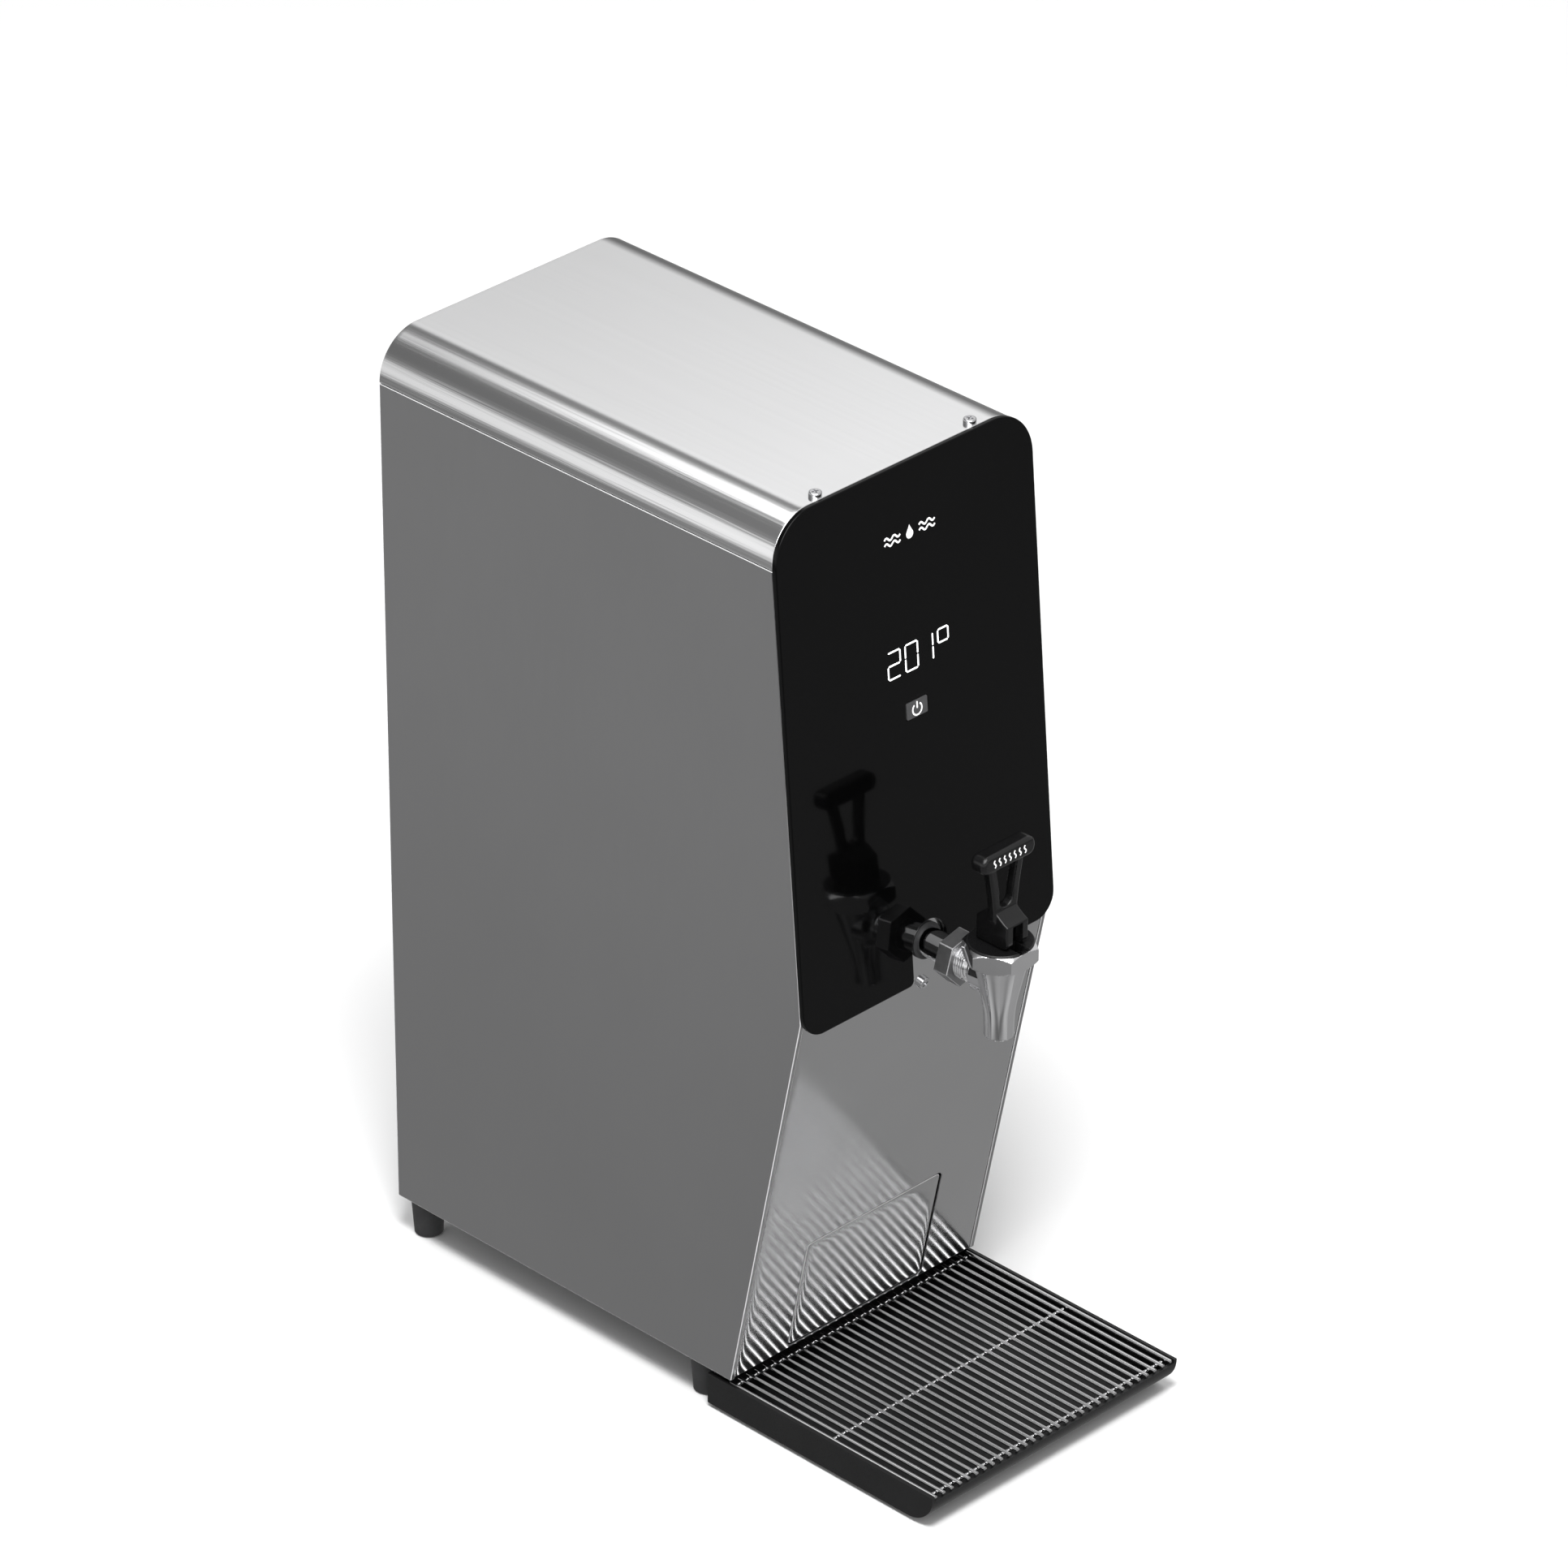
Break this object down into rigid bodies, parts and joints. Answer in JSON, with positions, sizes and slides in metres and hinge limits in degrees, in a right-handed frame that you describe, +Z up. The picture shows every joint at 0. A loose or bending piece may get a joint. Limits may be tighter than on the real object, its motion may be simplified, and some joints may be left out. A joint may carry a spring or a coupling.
{
  "type": "countertop water dispenser",
  "caption": "Slim counter-top hot water dispenser: steel cabinet, black glass front with display and button, lever tap on a shank, and a drip tray with a wire grille.",
  "frame": {"origin": "on the counter under the centre of the object's box", "axes": "+Z up, +X to the right of someone facing the tap, -Y towards that person"},
  "size_m": [0.212, 0.4792, 0.6288],
  "materials": {
    "satin_steel": "fine upright brushing, satin",
    "top_steel": "brushed along the depth, streaky at the bends",
    "polished_steel": "near mirror polish",
    "plain_steel": "plain mill finish sheet",
    "black_glass": "gloss black toughened glass",
    "magnet": "matt black housing",
    "bright_screw": "bright plated",
    "foot_rubber": "matt black",
    "zinc_steel": "bright zinc plated",
    "black_module": "matt black",
    "circuit_board": "green board with parts",
    "nylon": "natural nylon",
    "grey_button": "fine matt grey",
    "chrome": "polished chrome",
    "dark_chrome": "dark satin chrome",
    "ptfe": "waxy white",
    "tap_black": "satin gloss black",
    "handle_black": "satin gloss black",
    "stem_steel": "drawn stainless steel",
    "silicone": "translucent white silicone",
    "tray_black": "fine satin black",
    "wire_chrome": "bright drawn wire",
    "tank_steel": "plain stainless sheet",
    "insulation": "felted mineral blanket",
    "element_steel": "dull heat-tinted sheath",
    "probe_ceramic": "plain ceramic with steel rod",
    "brass": "plain turned brass",
    "red_plastic": "red grip",
    "gland_black": "matt black nylon"
  },
  "bodies": {
    "cabinet": {"side_panel_left": "satin_steel", "side_panel_right": "satin_steel", "top_cover": "top_steel", "rear_panel": "plain_steel", "base_plate": "plain_steel", "front_panel": "polished_steel", "fascia_glass": "black_glass", "cover_magnets": "magnet", "cover_screws": "bright_screw", "front_screw": "bright_screw", "rear_screws": "bright_screw", "feet": "foot_rubber", "foot_nuts": "zinc_steel", "display_module": "black_module", "control_board": "circuit_board", "board_standoffs": "nylon", "shank_tube": "chrome", "shank_grommet": "foot_rubber", "shank_nut": "dark_chrome", "shank_washer": "ptfe", "tap_body": "chrome", "tap_bonnet": "tap_black", "tank": "tank_steel", "tank_lid": "tank_steel", "lid_gasket": "silicone", "lid_screws": "zinc_steel", "insulation_jacket": "insulation", "tank_stand": "plain_steel", "heating_element": "element_steel", "temperature_probe": "stem_steel", "level_probes": "probe_ceramic", "overheat_cutout": "black_module", "outlet_sleeve": "silicone", "sleeve_clips": "zinc_steel", "inlet_valve": "nylon", "inlet_nut": "brass", "inlet_pipe": "tank_steel", "overflow_pipe": "silicone", "overflow_spigot": "nylon", "drain_pipe": "tank_steel", "drain_valve": "brass", "terminal_block": "nylon", "cable_gland": "gland_black"},
    "handle": {"tap_handle": "handle_black", "handle_pin": "stem_steel"},
    "stem": {"tap_stem": "stem_steel", "seat_cup": "silicone", "tap_spring": "stem_steel"},
    "tray": {"drip_tray": "tray_black", "tray_pads": "foot_rubber"},
    "grille": {"drip_grille": "wire_chrome"},
    "button": {"power_button": "grey_button"},
    "cover": {"access_cover": "polished_steel"},
    "lever": {"drain_lever": "red_plastic"}
  },
  "joints": [
    {"name": "handle_tilt", "type": "hinge", "parent": "cabinet", "child": "handle", "pos_m": [0, -0.19635, 0.3478], "axis": [1, 0, 0], "range_deg": [0, 28], "stiffness_Nm_per_rad": 0.35, "springref_deg": -11.46},
    {"name": "stem_lift", "type": "slide", "parent": "cabinet", "child": "stem", "axis": [0, 0, 1], "range_m": [0, 0.0038], "deforming": ["tap_spring"]},
    {"name": "tray_slide", "type": "slide", "parent": "cabinet", "child": "tray", "axis": [0, -1, 0], "range_m": [0, 0.2]},
    {"name": "grille_lift", "type": "slide", "parent": "tray", "child": "grille", "axis": [0, -0.7659, 0.6429], "range_m": [0, 0.06]},
    {"name": "power_press", "type": "slide", "parent": "cabinet", "child": "button", "axis": [0, 0.9968, -0.0802], "range_m": [0, 0.001], "stiffness_N_per_m": 1200, "springref_m": -0.0006},
    {"name": "cover_tilt", "type": "hinge", "parent": "cabinet", "child": "cover", "pos_m": [0, -0.06976, 0.03043], "axis": [1, 0, 0], "range_deg": [0, 25]},
    {"name": "drain_turn", "type": "hinge", "parent": "cabinet", "child": "lever", "pos_m": [-0.04, -0.02155, 0.091], "axis": [0, 0, 1], "range_deg": [-90, 0]}
  ],
  "couplings": [
    {"joint": "stem_lift", "follows": "handle_tilt", "m_per_rad": 0.0075677}
  ]
}
